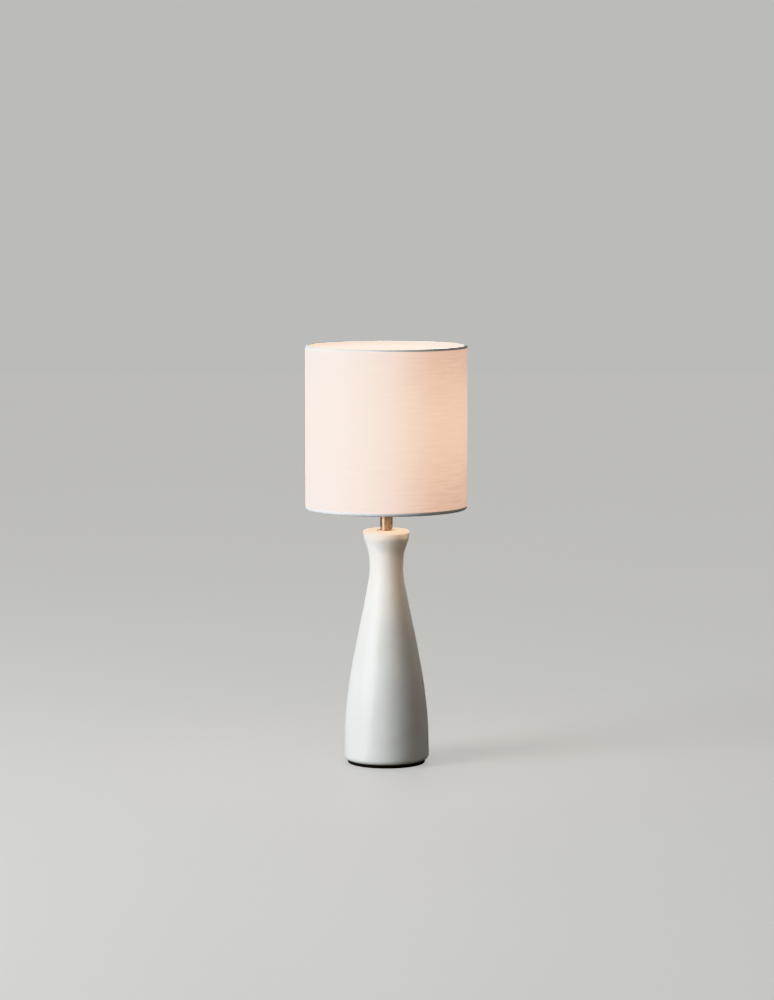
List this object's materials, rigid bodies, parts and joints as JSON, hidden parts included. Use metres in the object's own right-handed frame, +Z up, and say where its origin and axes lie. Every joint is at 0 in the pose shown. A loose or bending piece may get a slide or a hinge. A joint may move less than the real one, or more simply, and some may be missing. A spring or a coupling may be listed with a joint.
{
  "type": "table lamp",
  "caption": "Bedside table lamp: a white glazed bottle-shaped ceramic base, a short metal neck tube and a lit white fabric drum shade on a wire spider.",
  "frame": {"origin": "centre of the foot pad's underside, on the surface that the lamp stands on", "axes": "+Z up along the lamp's axis, -Y to the front, +Y to the cord inlet, +X to the viewer's right"},
  "size_m": [0.16, 0.16, 0.4161],
  "materials": {
    "black_foam": "matt closed-cell foam",
    "glazed_ceramic": "satin white glaze",
    "black_rubber": "matt",
    "zinc_steel": "zinc plated",
    "satin_nickel": "satin nickel plated",
    "holder_plastic": "moulded thermoplastic",
    "steatite": "unglazed",
    "brass": "plain",
    "bulb_nickel": "nickel plated, thin",
    "black_glass": "opaque black glass",
    "bulb_plastic": "moulded thermoplastic",
    "opal_globe": "opal, lit from within",
    "circuit_board": "white solder mask",
    "shade_fabric": "plain weave, laminated",
    "shade_liner": "translucent film",
    "coated_wire": "white powder coat"
  },
  "bodies": {
    "lamp": {"foot_pad": "black_foam", "ceramic_body": "glazed_ceramic", "cord_grommet": "black_rubber", "base_plate": "zinc_steel", "foot_lock_washer": "zinc_steel", "foot_nut": "zinc_steel", "threaded_pipe": "zinc_steel", "lip_gasket": "black_rubber", "lip_washer": "satin_nickel", "cover_tube": "satin_nickel", "holder_cap": "holder_plastic", "holder_grub_screw": "zinc_steel", "holder_shell": "holder_plastic", "holder_core": "steatite", "screw_shell": "brass", "centre_contact": "brass", "live_terminal": "brass", "live_terminal_screw": "zinc_steel", "neutral_terminal": "brass", "neutral_terminal_screw": "zinc_steel"},
    "ring_lift": {"shade_ring_sleeve": "holder_plastic"},
    "ring": {"shade_ring_grip": "holder_plastic"},
    "bulb_lift": {"bulb_tip": "bulb_nickel"},
    "bulb": {"bulb_insulator": "black_glass", "bulb_screw_cap": "bulb_nickel", "bulb_housing": "bulb_plastic", "bulb_globe": "opal_globe", "bulb_led_board": "circuit_board", "bulb_driver_board": "circuit_board"},
    "shade": {"shade_fabric": "shade_fabric", "shade_liner": "shade_liner", "top_wire": "coated_wire", "bottom_wire": "coated_wire", "spider_hub": "coated_wire", "spider_arm_1": "coated_wire", "spider_arm_2": "coated_wire", "spider_arm_3": "coated_wire"}
  },
  "joints": [
    {"name": "shade_turn", "type": "hinge", "parent": "lamp", "child": "shade", "pos_m": [0, 0, 0.284], "axis": [0, 0, 1], "continuous": true},
    {"name": "ring_rise", "type": "slide", "parent": "lamp", "child": "ring_lift", "axis": [0, 0, 1], "range_m": [0, 0.01601]},
    {"name": "ring_turn", "type": "hinge", "parent": "ring_lift", "child": "ring", "pos_m": [0, 0, 0.289], "axis": [0, 0, 1], "range_deg": [0, 2880]},
    {"name": "bulb_rise", "type": "slide", "parent": "lamp", "child": "bulb_lift", "axis": [0, 0, 1], "range_m": [0, 0.01411]},
    {"name": "bulb_turn", "type": "hinge", "parent": "bulb_lift", "child": "bulb", "pos_m": [0, 0, 0.304], "axis": [0, 0, 1], "range_deg": [0, 1800]}
  ],
  "couplings": [
    {"joint": "ring_rise", "follows": "ring_turn", "m_per_rad": 0.00031831},
    {"joint": "bulb_rise", "follows": "bulb_turn", "m_per_rad": 0.00044882}
  ]
}
